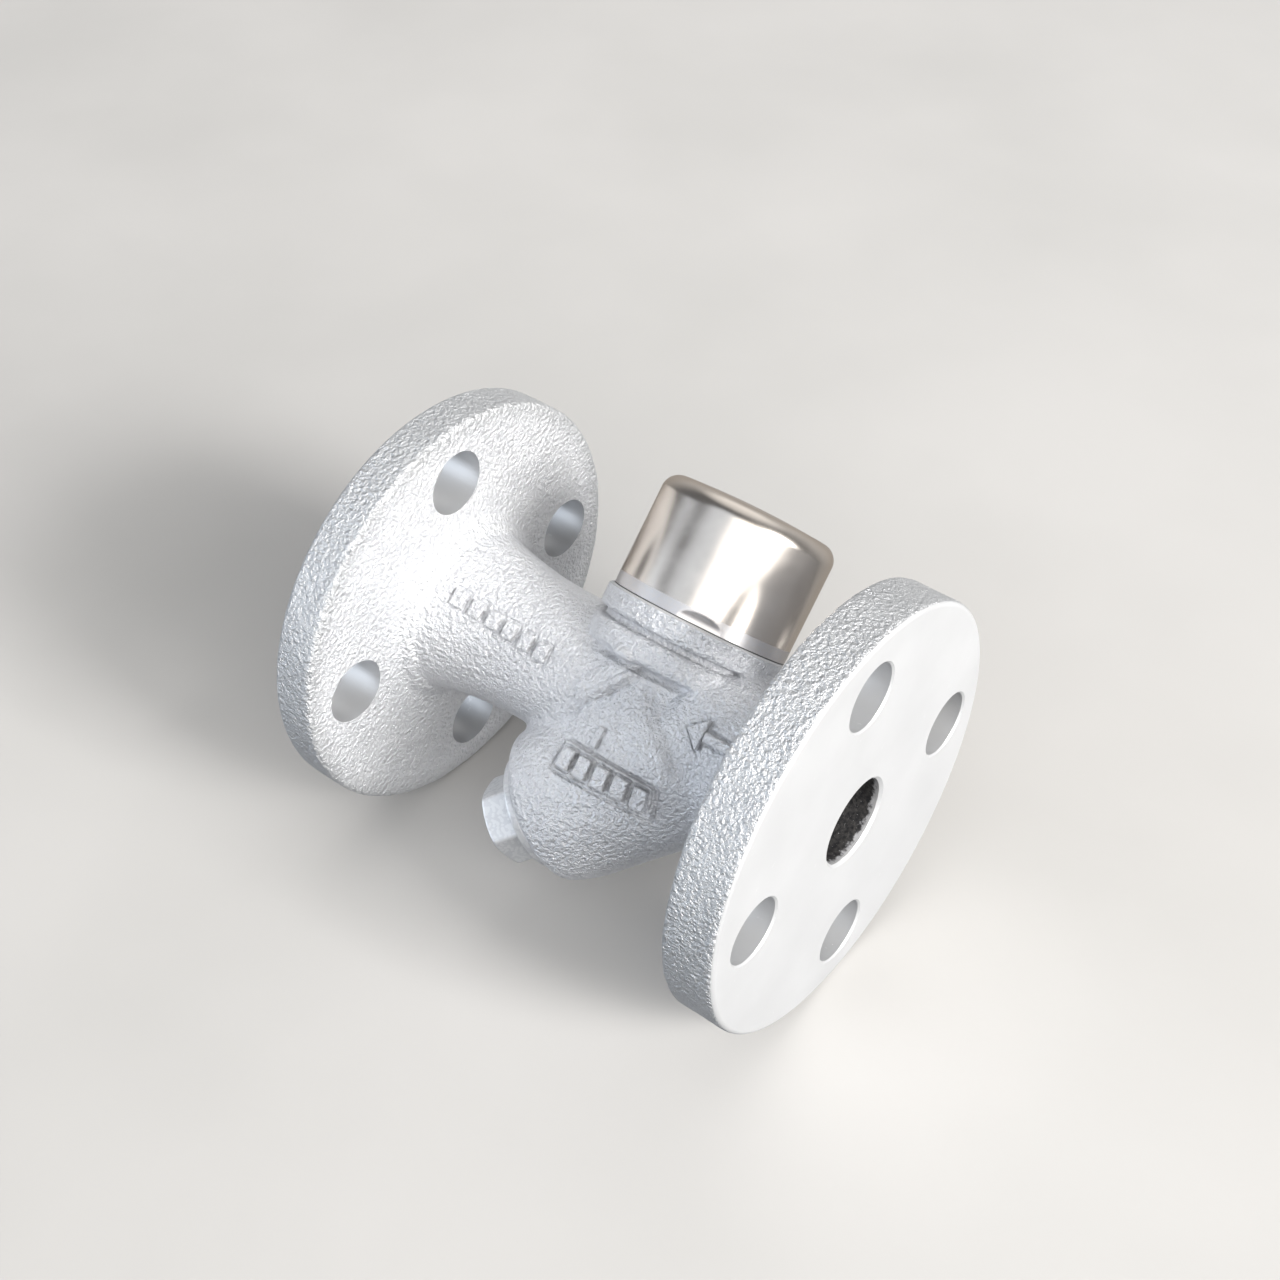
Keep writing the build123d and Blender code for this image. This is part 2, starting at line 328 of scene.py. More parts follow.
AXIS_X = Matrix.Rotation(math.radians(90), 4, "Y")
ON_CAP = Matrix.Translation((CAP_X * MM, 0, 0))
LEG_TURN = Matrix(((0, R2, R2, 0), (1, 0, 0, 0), (0, R2, -R2, 0), (0, 0, 0, 1)))
ON_LEG = Matrix.Translation((LEG_X * MM, 0, 0)) @ LEG_TURN


def lathe(name, profile, place, segments=96):
    points, faces = lathe_data(profile, segments)
    me = bpy.data.meshes.new(name)
    me.from_pydata([Vector(p) * MM for p in points], [], faces)
    me.transform(place)
    bm = bmesh.new()
    bm.from_mesh(me)
    bmesh.ops.recalc_face_normals(bm, faces=bm.faces)
    if bm.calc_volume(signed=True) < 0:
        bmesh.ops.reverse_faces(bm, faces=bm.faces)
    bm.to_mesh(me)
    bm.free()
    return add_object(name, me)


def subtract(ob, tools):
    """Takes the tools out of ob, and removes them."""
    for tool in tools:
        m = ob.modifiers.new("cut", "BOOLEAN")
        m.operation = "DIFFERENCE"
        m.object = tool
        m.solver = "MANIFOLD"
    dg = bpy.context.evaluated_depsgraph_get()
    done = bpy.data.meshes.new_from_object(ob.evaluated_get(dg))
    old = ob.data
    ob.modifiers.clear()
    ob.data = done
    done.name = old.name
    bpy.data.meshes.remove(old)
    for tool in tools:
        bpy.data.objects.remove(tool)


# ---------------------------------------------------------------- casting
def emboss(b, mask, height):
    """Raises the surface by height where mask is below 0."""
    return smooth_union(b, np.maximum(b - height, mask), 0.3)


def both(a, b, k):
    """Overlap of two shapes with a softened edge."""
    return -smooth_union(-a, -b, k)


def near_line(x, z, points):
    """Distance in the XZ plane to a line through several points."""
    best = None
    for (ax, az), (bx, bz) in zip(points, points[1:]):
        d = segment(x, z, ax, az, bx, bz)
        best = d if best is None else np.minimum(best, d)
    return best


def leg_field(x, y, z):
    """Round leg with a coned shoulder and a ball where it runs into the pipe."""
    s, q, _ = leg_coords(x, y, z)
    shoulder = (s - SHOULDER_START) * 0.364 + (q - LEG_R) * 0.932
    chamfer = (s - CHAMFER_START) * 0.874 + (q - CHAMFER_R) * 0.486
    leg = both(q - LEG_R, shoulder, 3.0)
    leg = both(leg, chamfer, 1.0)
    leg = both(leg, s - LEG_END - 0.1, 0.8)
    leg = np.maximum(leg, 12 - s)
    return np.minimum(leg, np.sqrt(q * q + (s - 12) ** 2) - LEG_R)


def outside_field(x, y, z):
    """The casting's outside without its relief: pipe, leg, boss and flanges."""
    r = np.sqrt(y * y + z * z)
    slope = 1 / math.sqrt(1 + HUB_SLOPE**2)
    ends = np.maximum(IN_BACK - 8 - x, x - OUT_BACK - 7)
    neck = np.maximum(r - NECK_R, ends)
    hub_in = (r - NECK_R - HUB_SLOPE * (IN_BACK + HUB_LENGTH - x)) * slope
    hub_in = np.maximum(np.maximum(hub_in, x - IN_BACK - HUB_END), ends)
    hub_out = (r - NECK_R - HUB_SLOPE * (x - OUT_BACK + HUB_LENGTH)) * slope
    hub_out = np.maximum(np.maximum(hub_out, OUT_BACK - HUB_END - x), ends)
    inlet = round_box(x - 30.0, r, 23.0, INLET_NECK_R, 4.0)
    pipe = smooth_union(smooth_union(neck, hub_in, 3), hub_out, 3)
    ring_in = round_box(x - IN_BACK + 2.0, r, RING_HALF, RING_R, 1.3)
    ring_out = round_box(x - OUT_BACK - 2.0, r, RING_HALF, RING_R, 1.3)
    rim_in = round_box(x - (IN_BACK - 1) / 2, r, (IN_BACK + 1) / 2, FLANGE_R, 1.2)
    mid = (OUT_BACK + FAR + 1) / 2
    rim_out = round_box(x - mid, r, (FAR + 1 - OUT_BACK) / 2, FLANGE_R, 1.5)

    rho = np.sqrt((x - CAP_X) ** 2 + y * y)
    root = round_box(rho, z - 6.5, ROOT_R, 20.5, 5.0)
    fill = np.maximum(rho - GROOVE_R, np.maximum(13 - z, z - BOSS_TOP - 0.5))
    band = round_box(rho, z - BAND_Z, BAND_R, 3.5, 1.9)
    collar = round_box(rho, z - COLLAR_Z, COLLAR_R, 4.2, 1.5)

    b = fillet(pipe, leg_field(x, y, z), 3.0)
    b = fillet(b, root, 3.0)
    b = fillet(b, inlet, 1.8)
    b = fillet(b, band, 1.0)
    b = np.minimum(b, fill)
    b = fillet(b, collar, 0.7)
    b = fillet(b, ring_in, 1.5)
    b = fillet(b, ring_out, 1.5)
    b = fillet(b, rim_in, 3.0)
    return fillet(b, rim_out, 3.0)


def raised(b, outline, front, height, groove):
    """Lifts the surface inside an outline in XZ, with a groove round it."""
    b = emboss(b, np.maximum(outline, front), height)
    return b + np.where(front < 0, np.clip(1 - (outline / 0.6) ** 2, 0, 1) * groove, 0)


def hill(distance, width):
    """1 on a line, falling to 0 at width from it."""
    return np.clip(1 - (distance / width) ** 2, 0, 1)


def fade(value, length):
    """0 below 0, rising to 1 at length."""
    return np.clip(value / length, 0, 1)


def seam_relief(b, x, y, z):
    """Hump, groove, weld-like ridge and undercut where the boss meets the pipe."""
    ends = fade(11.5 - z, 6) * fade(90 - x, 16)
    bulge = hill(near_line(x, z, SWELL), 4.5) * 3.0
    b = b - np.where(y > 0, bulge, 0) * np.clip(1 - b / 6, 0, 1)
    dip = hill(near_line(x, z, SEAM_GROOVE), 1.1) * ends * fade(8 - z, 6)
    b = b + np.where(y > 0, dip * 0.7, 0)
    ridge = hill(near_line(x, z, SEAM), 1.7) * 2.5 * ends
    b = b - np.where(y > 0, ridge, 0) * np.clip(1 - b / 6, 0, 1)
    under = hill(z - UNDERCUT_Z, 1.4) * fade(82 - x, 8)
    return b + np.where(y > 0, under * fade(x - 46, 10) * 1.5, 0)


def leg_step(b, x, y, z):
    """Step down from the side of the leg to the inlet neck."""
    across = (z - CREST[1]) * 0.76 - (x - CREST[0]) * 0.65
    along = -(x - CREST[0]) * 0.76 - (z - CREST[1]) * 0.65
    span = fade(along + 4, 5) * fade(30 - along, 8)
    span = span * fade(y - 6, 6) * fade(12 - z, 4)
    crest = hill(across + 1.5, 5.5) * 0.9
    step = fade(across, 4.0)
    valley = step * step * (3 - 2 * step) * fade(20 - across, 14) * 1.5
    return b + span * (valley - crest) * np.clip(1 - b / 6, 0, 1)


def marks(b, x, y, z):
    """Seams, blank tiles and flow arrow raised on one side of the casting."""
    front = -y
    b = leg_step(seam_relief(b, x, y, z), x, y, z)
    pip = np.sqrt((x - PIP[0]) ** 2 + (z - PIP[1]) ** 2) - 1.0
    b = emboss(b, np.maximum(pip, front), 0.8)
    for cx, cz in NECK_TILES:
        b = raised(b, round_box(x - cx, z - cz, 2.3, 2.8, 0.7), front, 0.9, 0.4)
    tray = round_box(x - TRAY_X, z - TILE_ROW_Z, 15.2, 4.6, 0.8)
    b = raised(b, tray, front, 0.8, 0.6)
    for cx in LEG_TILES:
        tile = round_box(x - cx, z - TILE_ROW_Z, 2.4, 3.2, 0.6)
        b = raised(b, tile, front, 1.3, 0.6)
    tab = round_box(x - TAB[0], z - TAB[1], 1.4, 3.2, 0.5)
    b = raised(b, tab, front, 0.9, 0.4)
    head = (x - ARROW_TIP_X) * 0.8 + np.abs(z - ARROW_Z) * 0.9
    head = np.maximum(head, ARROW_BACK_X - x)
    shaft = round_box(x - ARROW_SHAFT_X, z - ARROW_Z, 8.0, 1.7, 0.3)
    return raised(b, np.minimum(head, shaft), front, 1.1, 0.5)


def passage_field(x, y, z):
    """The cast passages: inlet, screen chamber, ring gallery, duct and outlet."""
    r = np.sqrt(y * y + z * z)
    rho = np.sqrt((x - CAP_X) ** 2 + y * y)
    s, q, _ = leg_coords(x, y, z)
    inlet = np.maximum(r - PORT_R, x - 36)
    inlet = np.minimum(inlet, np.sqrt((x - 36) ** 2 + r * r) - PORT_R)
    throat = np.maximum(q - 10.2, np.abs(s - 2) - 8)
    chamber = round_box(s - 24.5, q, 14.5, 16.0, 1.5)
    core = np.minimum(smooth_union(inlet, throat, 3), chamber)
    outlet = np.maximum(r - PORT_R, 103 - x)
    outlet = np.minimum(outlet, np.sqrt((x - 103) ** 2 + r * r) - PORT_R)
    t = np.clip(((x - 72) * 32 - (z - 6) * 6) / (32 * 32 + 36), 0, 1)
    duct = np.sqrt((x - 72 - 32 * t) ** 2 + y * y + (z - 6 + 6 * t) ** 2) - 6
    gallery = round_box(rho - 10, z - 11, 4.2, 3.0, 1.0)
    return np.minimum(core, np.minimum(smooth_union(outlet, duct, 3), gallery))


def cast_texture(p):
    """How far the sand-cast skin stands out at each point, in millimetres."""
    r = np.hypot(p[:, 1], p[:, 2])
    rim = np.clip((r - 57) / 5, 0, 1)
    flange = np.clip((r - 31) / 4, 0, 1)
    big = noise(p, 9.0, 1) * 0.12
    mid = noise(p, 2.1, 2)
    small = noise(p, 1.25, 3)
    patch = np.clip(0.75 + noise(p, 14.0, 4) * 0.6, 0.3, 1.3)
    level = 0.075 + 0.02 * flange + 0.05 * rim
    return big + (mid * 0.8 + small * 0.7) * level * patch


def casting_field(x, y, z):
    """The whole casting: outside, parting-line ridges and relief, less the passages."""
    r = np.sqrt(y * y + z * z)
    b = outside_field(x, y, z)
    flash_in = np.maximum(np.abs(z - 7.0) - 0.4, np.abs(x - 7.5) - 8)
    flash_out = np.maximum(np.abs(z - 0.3) - 0.4, np.abs(x - FAR + 6) - 6.6)
    flash = np.maximum(np.minimum(flash_in, flash_out), r - FLANGE_R - 0.25)
    flash = np.maximum(flash, FLANGE_R - 3 - r)
    b = marks(smooth_union(b, flash, 0.5), x, y, z)
    return cut(b, passage_field(x, y, z), 0.8)


def refine(ob, chosen, cuts):
    """Splits the chosen faces of a quad mesh into smaller ones."""
    bm = bmesh.new()
    bm.from_mesh(ob.data)
    bm.faces.ensure_lookup_table()
    edges = set()
    for index in np.nonzero(chosen)[0]:
        edges.update(bm.faces[int(index)].edges)
    bmesh.ops.subdivide_edges(bm, edges=list(edges), cuts=cuts, use_grid_fill=True)
    bm.to_mesh(ob.data)
    bm.free()


def settle(p, field, rounds=3, step=0.05):
    """Moves points onto a field's zero level along its slope."""
    for _ in range(rounds):
        x, y, z = p[:, 0], p[:, 1], p[:, 2]
        f = field(x, y, z)
        g = np.stack(
            [
                (field(x + step, y, z) - field(x - step, y, z)) / (2 * step),
                (field(x, y + step, z) - field(x, y - step, z)) / (2 * step),
                (field(x, y, z + step) - field(x, y, z - step)) / (2 * step),
            ],
            1,
        )
        size = np.maximum((g * g).sum(1), 0.25)
        move = g * (f / size)[:, None]
        far = np.linalg.norm(move, axis=1)[:, None]
        p = p - move * np.minimum(1, 0.25 / np.maximum(far, 1e-9))
    return p


def make_skin():
    """Mesh of the casting's field, refined round the relief, with the cast grain."""
    x, y, z, low = grid_axes((-2, -64.5, -64.5), (FAR + 2, 64.5, 64.5), GRID)
    points, quads = surface_net(casting_field(x, y, z), low, GRID)
    ob = mesh_from("casting_skin", points, quads)
    c, n = face_data(ob.data)
    inlay = (c[:, 0] > 36) & (c[:, 0] < 131) & (c[:, 1] > 12) & (n[:, 1] > 0.35)
    inlay &= (c[:, 2] > -27) & (c[:, 2] < 13)
    refine(ob, inlay, 1)
    set_points(ob.data, settle(points_of(ob.data), casting_field))
    p = points_of(ob.data)
    p += normals_of(ob.data) * cast_texture(p)[:, None]
    set_points(ob.data, p)
    return ob


def machining_tools():
    """Solids that cut the flange faces, bolt holes, boss bore and leg bore."""
    faces = [(-5, 0), (-5, 72), (EDGE, 72)]
    for n in range(13):
        a = math.radians(7.5 * n)
        along = EDGE * (1 - math.sin(a))
        faces.append((along, FLANGE_R + 0.02 - EDGE * (1 - math.cos(a))))
    faces += [(0, PORT_R + 0.8), (1.0, PORT_R - 0.2), (1.0, 0)]
    tools = [lathe("tool", faces, AXIS_X, 256)]
    flip = Matrix.Translation((FAR * MM, 0, 0)) @ Matrix.Rotation(math.pi, 4, "Z") @ AXIS_X
    tools.append(lathe("tool", faces, flip, 256))
    bolt = [(-3, 0), (-3, 13.0), (0.5, BOLT_R), (18, BOLT_R), (18, 0)]
    ring = BOLT_RING_R * MM
    for a in BOLT_TURNS:
        shift = Matrix.Translation((0, ring * math.cos(a), ring * math.sin(a)))
        tools.append(lathe("tool", bolt, shift @ AXIS_X, 96))
        tools.append(lathe("tool", bolt, shift @ flip, 96))
    boss = [(13, 0), (13, 17.6), (18, 17.6), (18, 18.6), (26.4, 18.6)]
    boss += [(27, 19.2), (27, 26.2), (24.5, 28.7), (35, 28.7), (35, 0)]
    tools.append(lathe("tool", boss, ON_CAP, 192))
    tools.append(lathe("tool", [(-5, 0), (-5, 3.6), (14, 3.6), (14, 0)], ON_CAP, 64))
    leg = [(36, 0), (36, 13.3), (54, 13.3), (54.6, 13.9), (54.6, 24), (62, 24), (62, 0)]
    tools.append(lathe("tool", leg, ON_LEG, 160))
    tools.append(lathe("tool", [(7, 0), (7, 11.15), (12, 11.15), (12, 0)], ON_LEG, 96))
    return tools


def bolt_hole_faces(c, n):
    """Which faces are the walls of the eight bolt holes."""
    near_flange = (c[:, 0] < IN_BACK + 2) | (c[:, 0] > OUT_BACK - 2)
    hole = np.zeros(len(c), bool)
    for a in BOLT_TURNS:
        dy = c[:, 1] - BOLT_RING_R * math.cos(a)
        dz = c[:, 2] - BOLT_RING_R * math.sin(a)
        hole |= (np.hypot(dy, dz) < BOLT_R + 0.04) & (np.abs(n[:, 0]) < 0.6) & near_flange
    return hole


def casting_slots(me):
    """Slot of each face: 0 cast, 1 machined, 2 passage, 3 bolt hole."""
    c, n = face_data(me)
    r = np.hypot(c[:, 1], c[:, 2])
    s, q, _ = leg_coords(c[:, 0], c[:, 1], c[:, 2])
    rho = np.hypot(c[:, 0] - CAP_X, c[:, 1])
    facing_x = np.abs(n[:, 0]) > 0.6
    slot = np.zeros(len(c), np.int32)
    flat = ((c[:, 0] < 1.12) | (c[:, 0] > FAR - 1.12)) & (r > PORT_R - 1)
    flat &= facing_x | (r < FLANGE_R - 3)
    hole = bolt_hole_faces(c, n)
    top = (rho < 26.95) & (c[:, 2] > 26.35) | (rho < 18.8) & (c[:, 2] > 12.9)
    seat = (s > 54.55) & (q < 19) | (q < 13.35) & (s > 40)
    slot[flat | hole | top | seat] = 1
    inner = (r < PORT_R + 0.35) & ((c[:, 0] < 45) | (c[:, 0] > 90))
    inner |= (q < 16.4) & (s > -8) & (s < 40) & (r < 45)
    inner |= (rho < 14.6) & (c[:, 2] < 12.95) & (c[:, 2] > 0)
    inner &= ~(facing_x & ((c[:, 0] < 1.1) | (c[:, 0] > FAR - 1.1)))
    slot[inner & ~hole & (slot == 0)] = 2
    slot[hole] = 3
    return slot


def make_casting():
    ob = make_skin()
    subtract(ob, machining_tools())
    smooth_shade(ob, 38)
    me = ob.data
    slot = casting_slots(me)
    me.materials.clear()
    for name in ("cast_paint", "machined_paint", "cast_bore", "drilled_paint"):
        me.materials.append(MATERIALS[name])
    me.polygons.foreach_set("material_index", slot)
    me.update()
    return ob


# ---------------------------------------------------------------- materials
MATERIALS = {}


class Nodes:
    """Small helper that adds shader nodes and links them."""

    def __init__(self, name):
        self.mat = bpy.data.materials.new(name)
        self.mat.use_nodes = True
        self.tree = self.mat.node_tree
        self.shader = self.tree.nodes["Principled BSDF"]
        self.coord = self.tree.nodes.new("ShaderNodeTexCoord")
        MATERIALS[name] = self.mat

    def add(self, kind, **sockets):
        node = self.tree.nodes.new("ShaderNode" + kind)
        for key, value in sockets.items():
            self.set(node, key, value)
        return node

    def set(self, node, key, value):
        socket = node.inputs[key.replace("_", " ")]
        if isinstance(value, bpy.types.NodeSocket):
            self.tree.links.new(value, socket)
        else:
            socket.default_value = value

    def noise(self, size, detail=3.0, rough=0.55, stretch=None, seed=0.0):
        """Noise texture of a given grain size in millimetres, in object space."""
        m = self.tree.nodes.new("ShaderNodeMapping")
        self.tree.links.new(self.coord.outputs["Object"], m.inputs["Vector"])
        k = 1000.0 / size
        sx, sy, sz = stretch or (1, 1, 1)
        m.inputs["Scale"].default_value = (k * sx, k * sy, k * sz)
        m.inputs["Location"].default_value = (seed, seed * 1.7, seed * 0.6)
        t = self.add("TexNoise", Scale=1.0, Detail=detail, Roughness=rough)
        self.tree.links.new(m.outputs["Vector"], t.inputs["Vector"])
        return t.outputs["Fac"]

    def ramp(self, fac, low, high, a=0.0, b=1.0):
        n = self.add("MapRange")
        self.tree.links.new(fac, n.inputs["Value"])
        n.inputs["From Min"].default_value = low
        n.inputs["From Max"].default_value = high
        n.inputs["To Min"].default_value = a
        n.inputs["To Max"].default_value = b
        return n.outputs["Result"]

    def math(self, op, a, b=0.0):
        n = self.tree.nodes.new("ShaderNodeMath")
        n.operation = op
        for socket, value in ((n.inputs[0], a), (n.inputs[1], b)):
            if isinstance(value, bpy.types.NodeSocket):
                self.tree.links.new(value, socket)
            else:
                socket.default_value = value
        return n.outputs[0]

    def mix(self, fac, a, b):
        n = self.tree.nodes.new("ShaderNodeMix")
        n.data_type = "RGBA"
        for socket, value in ((n.inputs[0], fac), (n.inputs[6], a), (n.inputs[7], b)):
            if isinstance(value, bpy.types.NodeSocket):
                self.tree.links.new(value, socket)
            elif isinstance(value, (tuple, list)):
                socket.default_value = (*value, 1.0)
            else:
                socket.default_value = value
        return n.outputs[2]

    def bump(self, height, distance, strength=1.0, after=None):
        n = self.tree.nodes.new("ShaderNodeBump")
        n.inputs["Strength"].default_value = strength
        n.inputs["Distance"].default_value = distance * MM
        self.tree.links.new(height, n.inputs["Height"])
        if after is not None:
            self.tree.links.new(after, n.inputs["Normal"])
        return n.outputs["Normal"]

    def finish(self, **sockets):
        for key, value in sockets.items():
            self.set(self.shader, key, value)
        return self.mat


def cast_paint():
    n = Nodes("cast_paint")
    worm = n.noise(1.3, 3.0, 0.6)
    grain = n.noise(0.7, 3.0, 0.65, seed=3.1)
    cloud = n.noise(15.0, 3.0, 0.6, seed=7.7)
    # Bright specks in the base colour: painted glints standing in for the sparkle of the
    # paint's flakes.
    painted_glint = n.noise(0.8, 2.0, 0.7, seed=11.0)
    sep = n.tree.nodes.new("ShaderNodeSeparateXYZ")
    n.tree.links.new(n.coord.outputs["Object"], sep.inputs[0])
    square = n.math("MULTIPLY", sep.outputs[1], sep.outputs[1])
    square = n.math("ADD", square, n.math("MULTIPLY", sep.outputs[2], sep.outputs[2]))
    # Mask of the flange rims by distance from the pipe axis; it darkens their base colour as
    # painted shade and softens their bump.
    rim = n.ramp(n.math("SQRT", square), 0.056, 0.0615)
    geo = n.tree.nodes.new("ShaderNodeNewGeometry")
    # Lighter base colour on convex edges, found from pointiness: painted highlight.
    edge = n.ramp(geo.outputs["Pointiness"], 0.505, 0.57)
    # Darker base colour in creases and grooves, found from pointiness: painted shade.
    painted_crease_shade = n.ramp(geo.outputs["Pointiness"], 0.35, 0.455, 1.0, 0.0)
    base = n.mix(n.ramp(cloud, 0.3, 0.7), (0.79, 0.80, 0.83), (0.86, 0.87, 0.895))
    # Darker where the worm noise is low, in the hollows of the bumped grain: painted shade.
    base = n.mix(n.ramp(worm, 0.30, 0.46, 0.24, 0.0), base, (0.40, 0.405, 0.425))
    # Painted glints: bright specks mixed into the base colour.
    base = n.mix(n.ramp(painted_glint, 0.62, 0.70, 0.0, 0.9), base, (0.95, 0.955, 0.96))
    # Painted highlight on convex edges.
    base = n.mix(n.math("MULTIPLY", edge, 0.5), base, (0.84, 0.85, 0.86))
    # Painted shade in creases.
    base = n.mix(n.math("MULTIPLY", painted_crease_shade, 0.75), base, (0.20, 0.20, 0.21))
    # Darker base colour in recesses and between parts, from ambient occlusion over 4 mm:
    # painted shade.
    painted_recess_shade = n.add("AmbientOcclusion", Distance=0.004)
    painted_recess_shade.samples = 6
    base = n.mix(n.ramp(painted_recess_shade.outputs["AO"], 0.25, 0.70, 0.6, 0.0), base, (0.26, 0.26, 0.27))
    # Flange rims darkened in the base colour: painted shade.
    base = n.mix(n.ramp(rim, 0.0, 1.0, 0.0, 0.55), base, (0.42, 0.43, 0.44))
    rough = n.ramp(cloud, 0.3, 0.7, 0.30, 0.37)
    worm = n.math("MULTIPLY", n.ramp(worm, 0.25, 0.75), n.ramp(rim, 0.0, 1.0, 1.0, 0.8))
    nrm = n.bump(worm, 1.0, 1.0)
    nrm = n.bump(n.ramp(grain, 0.25, 0.75), 0.20, 0.9, nrm)
    return n.finish(Base_Color=base, Metallic=0.65, Roughness=rough, Normal=nrm)


def smooth_paint(name, low, high, metal, seed):
    n = Nodes(name)
    cloud = n.noise(22.0, 3.0, 0.6, seed=seed)
    fine = n.noise(0.5, 3.0, 0.6, seed=seed + 3)
    scuff = n.noise(5.0, 3.0, 0.6, stretch=(1, 5, 1), seed=seed + 7)
    chip = n.noise(1.6, 3.0, 0.7, seed=seed + 9)
    base = n.mix(n.ramp(cloud, 0.3, 0.7), low, high)
    base = n.mix(n.ramp(scuff, 0.68, 0.74, 0.0, 0.3), base, (0.86, 0.86, 0.86))
    base = n.mix(n.ramp(chip, 0.74, 0.77, 0.0, 0.8), base, (0.92, 0.92, 0.91))
    nrm = n.bump(fine, 0.02, 0.5)
    rough = n.ramp(cloud, 0.3, 0.7, 0.34, 0.42)
    return n.finish(Base_Color=base, Metallic=metal, Roughness=rough, Normal=nrm)


def cast_bore():
    n = Nodes("cast_bore")
    grain = n.noise(1.1, 4.0, 0.65, seed=1.0)
    speck = n.noise(0.55, 2.0, 0.7, seed=4.0)
    sep = n.tree.nodes.new("ShaderNodeSeparateXYZ")
    n.tree.links.new(n.coord.outputs["Object"], sep.inputs[0])
    ragged = n.noise(1.6, 3.0, 0.6, seed=6.0)
    depth = n.math("MINIMUM", sep.outputs[0], n.math("SUBTRACT", FAR * MM, sep.outputs[0]))
    spray = n.math("SUBTRACT", n.math("MULTIPLY", ragged, 0.0042), depth)
    spray = n.ramp(spray, -0.0005, 0.0005)
    base = n.mix(n.ramp(grain, 0.4, 0.62), (0.012, 0.012, 0.014), (0.05, 0.048, 0.047))
    base = n.mix(n.ramp(speck, 0.69, 0.72, 0.0, 0.9), base, (0.42, 0.42, 0.43))
    base = n.mix(n.math("MULTIPLY", spray, 0.85), base, (0.5, 0.5, 0.52))
    nrm = n.bump(grain, 0.3, 0.9)
    return n.finish(Base_Color=base, Metallic=0.1, Roughness=0.6, Normal=nrm)


def plug_paint():
    n = Nodes("plug_paint")
    grain = n.noise(0.9, 2.0, 0.5, seed=12.0)
    cloud = n.noise(6.0, 3.0, 0.6, seed=13.0)
    geo = n.tree.nodes.new("ShaderNodeNewGeometry")
    # Lighter base colour on the hexagon's edges and other convex edges, found from pointiness:
    # painted highlight.
    edge = n.ramp(geo.outputs["Pointiness"], 0.51, 0.58)
    base = n.mix(n.ramp(cloud, 0.3, 0.7), (0.60, 0.61, 0.635), (0.67, 0.68, 0.70))
    base = n.mix(n.math("MULTIPLY", edge, 0.5), base, (0.80, 0.81, 0.82))
    nrm = n.bump(grain, 0.05, 0.5)
    return n.finish(Base_Color=base, Metallic=0.4, Roughness=0.38, Normal=nrm)


def polished_cap():
    n = Nodes("polished_cap")
    wave = n.noise(16.0, 1.0, 0.4, seed=21.0)
    drawn = n.noise(0.4, 2.0, 0.5, stretch=(1, 1, 0.04), seed=22.0)
    smear = n.noise(8.0, 4.0, 0.6, seed=23.0)
    speck = n.noise(0.8, 2.0, 0.6, seed=24.0)
    sep = n.tree.nodes.new("ShaderNodeSeparateXYZ")
    n.tree.links.new(n.coord.outputs["Object"], sep.inputs[0])
    band = n.ramp(sep.outputs[2], 0.0310, 0.0307)
    film = n.math("MULTIPLY", band, n.ramp(speck, 0.3, 0.7, 0.38, 0.66))
    nrm = n.bump(wave, 0.10, 0.5)
    nrm = n.bump(drawn, 0.004, 0.5, nrm)
    rough = n.ramp(smear, 0.35, 0.7, 0.21, 0.27)
    rough = n.math("ADD", rough, n.math("MULTIPLY", film, 0.22))
    base = n.mix(n.ramp(smear, 0.3, 0.7), (0.66, 0.605, 0.55), (0.72, 0.665, 0.61))
    base = n.mix(film, base, (0.60, 0.62, 0.67))
    metal = n.ramp(film, 0.0, 1.0, 1.0, 0.55)
    tint = (0.64, 0.59, 0.54, 1.0)
    return n.finish(
        Base_Color=base, Metallic=metal, Roughness=rough, Normal=nrm, Specular_Tint=tint
    )


def steel(name, low, high, rough, grain, stretch):
    n = Nodes(name)
    lines = n.noise(grain, 3.0, 0.6, stretch=stretch, seed=31.0)
    cloud = n.noise(5.0, 3.0, 0.6, seed=32.0)
    base = n.mix(n.ramp(cloud, 0.3, 0.7), low, high)
    nrm = n.bump(lines, 0.01, 0.6)
    r = n.ramp(lines, 0.3, 0.7, rough - 0.06, rough + 0.08)
    return n.finish(Base_Color=base, Metallic=1.0, Roughness=r, Normal=nrm)


def graphite():
    n = Nodes("graphite")
    grain = n.noise(0.35, 3.0, 0.6, seed=41.0)
    base = n.mix(n.ramp(grain, 0.35, 0.65), (0.03, 0.03, 0.032), (0.09, 0.09, 0.095))
    nrm = n.bump(grain, 0.02, 0.7)
    return n.finish(Base_Color=base, Metallic=0.25, Roughness=0.55, Normal=nrm)


def floor_material():
    n = Nodes("studio_floor")
    cloud = n.noise(120.0, 3.0, 0.5, seed=51.0)
    fine = n.noise(1.5, 3.0, 0.6, seed=52.0)
    base = n.mix(n.ramp(cloud, 0.3, 0.7), (0.47, 0.462, 0.45), (0.51, 0.50, 0.488))
    nrm = n.bump(fine, 0.03, 0.4)
    n.finish(Base_Color=base, Roughness=0.85, Normal=nrm)
    geo = n.tree.nodes.new("ShaderNodeNewGeometry")
    clear = n.tree.nodes.new("ShaderNodeBsdfTransparent")
    mix = n.tree.nodes.new("ShaderNodeMixShader")
    out = n.tree.nodes["Material Output"]
    n.tree.links.new(geo.outputs["Backfacing"], mix.inputs[0])
    n.tree.links.new(n.shader.outputs[0], mix.inputs[1])
    n.tree.links.new(clear.outputs[0], mix.inputs[2])
    n.tree.links.new(mix.outputs[0], out.inputs["Surface"])
    return n.mat


